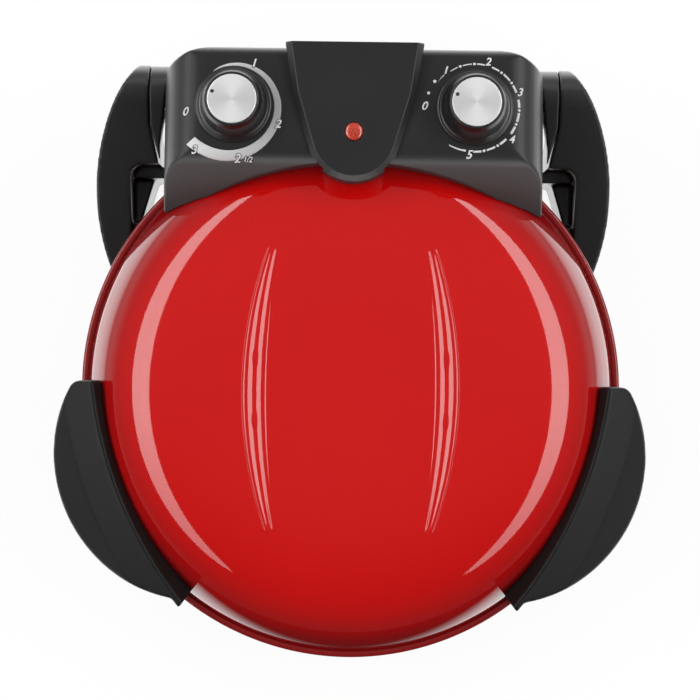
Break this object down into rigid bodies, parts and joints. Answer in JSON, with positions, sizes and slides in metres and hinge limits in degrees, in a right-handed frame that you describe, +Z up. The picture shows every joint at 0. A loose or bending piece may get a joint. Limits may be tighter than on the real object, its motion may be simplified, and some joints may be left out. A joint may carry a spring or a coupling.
{
  "type": "electric pizza maker",
  "caption": "Round countertop cooker: hinged domed lid with control housing, baking stone in a bowl, side handle wings, rear hinge arms and rubber feet.",
  "frame": {"origin": "middle of the footprint box, on the table under the feet", "axes": "+Z up, +Y to the hinge at the back, +X to the right seen from the front"},
  "size_m": [0.3682, 0.3776, 0.1607],
  "materials": {
    "red_enamel": "gloss enamel on pressed steel",
    "black_plastic": "satin moulded thermoset plastic",
    "liner_metal": "bright aluminised sheet",
    "element_sheath": "dark oxidised sheath",
    "zinc_steel": "zinc-plated steel",
    "ceramic": "unglazed electrical ceramic",
    "stone": "rough baked refractory stone",
    "rubber_black": "matt black rubber",
    "knob_cap_metal": "spun satin aluminium",
    "knob_black": "smooth moulded plastic",
    "lens_orange": "clear orange-red moulded lens",
    "lamp_white": "small neon lamp",
    "wire_white": "silicone-covered wire",
    "copper_tube": "thin copper capillary",
    "bell_brass": "pressed bell metal",
    "plate_blank": "blank foil plate"
  },
  "bodies": {
    "base": {"base_shell": "red_enamel", "base_liner": "liner_metal", "lower_element": "element_sheath", "lower_element_clips": "zinc_steel", "lower_insulators": "ceramic", "junction_box": "black_plastic", "junction_cover": "black_plastic", "cover_screws": "zinc_steel", "base_terminal_block": "ceramic", "cord_bush": "rubber_black", "base_wiring": "wire_white", "arm_left": "black_plastic", "arm_right": "black_plastic", "arm_screws": "zinc_steel", "hinge_pin_left": "zinc_steel", "hinge_pin_right": "zinc_steel", "base_handle_left": "black_plastic", "base_handle_right": "black_plastic", "base_handle_screws": "zinc_steel", "feet": "rubber_black", "rating_plate": "plate_blank"},
    "stone": {"pizza_stone": "stone"},
    "lid": {"lid_shell": "red_enamel", "lid_liner": "liner_metal", "upper_element": "element_sheath", "upper_element_clips": "zinc_steel", "upper_insulators": "ceramic", "lid_handle_left": "black_plastic", "lid_handle_right": "black_plastic", "lid_handle_screws": "zinc_steel", "control_housing": "black_plastic", "housing_floor": "black_plastic", "housing_screws": "zinc_steel", "hinge_cheek_left": "black_plastic", "hinge_cheek_right": "black_plastic", "tongue_panel": "black_plastic", "indicator_lens": "lens_orange", "indicator_lamp": "lamp_white", "thermostat_body": "zinc_steel", "thermostat_bulb": "copper_tube", "timer_body": "zinc_steel", "timer_bell": "bell_brass", "lid_terminal_block": "ceramic", "thermal_fuse": "wire_white", "lid_wiring": "wire_white", "heat_shield": "liner_metal"},
    "temperature_control": {"temperature_knob": "knob_black", "temperature_cap": "knob_cap_metal", "temperature_shaft": "zinc_steel"},
    "timer_control": {"timer_knob": "knob_black", "timer_cap": "knob_cap_metal", "timer_shaft": "zinc_steel"}
  },
  "joints": [
    {"name": "lid_hinge", "type": "hinge", "parent": "base", "child": "lid", "pos_m": [0, 0.1623, 0.088], "axis": [-1, 0, 0], "range_deg": [0, 100]},
    {"name": "stone_lift", "type": "slide", "parent": "base", "child": "stone", "axis": [0, 0, 1], "range_m": [0, 0.006]},
    {"name": "temperature_turn", "type": "hinge", "parent": "lid", "child": "temperature_control", "pos_m": [-0.0725, 0.1508, 0.1403], "axis": [0, -0.0698, -0.9976], "range_deg": [0, 290]},
    {"name": "timer_turn", "type": "hinge", "parent": "lid", "child": "timer_control", "pos_m": [0.0725, 0.1508, 0.1403], "axis": [0, -0.0698, -0.9976], "range_deg": [0, 255]}
  ]
}
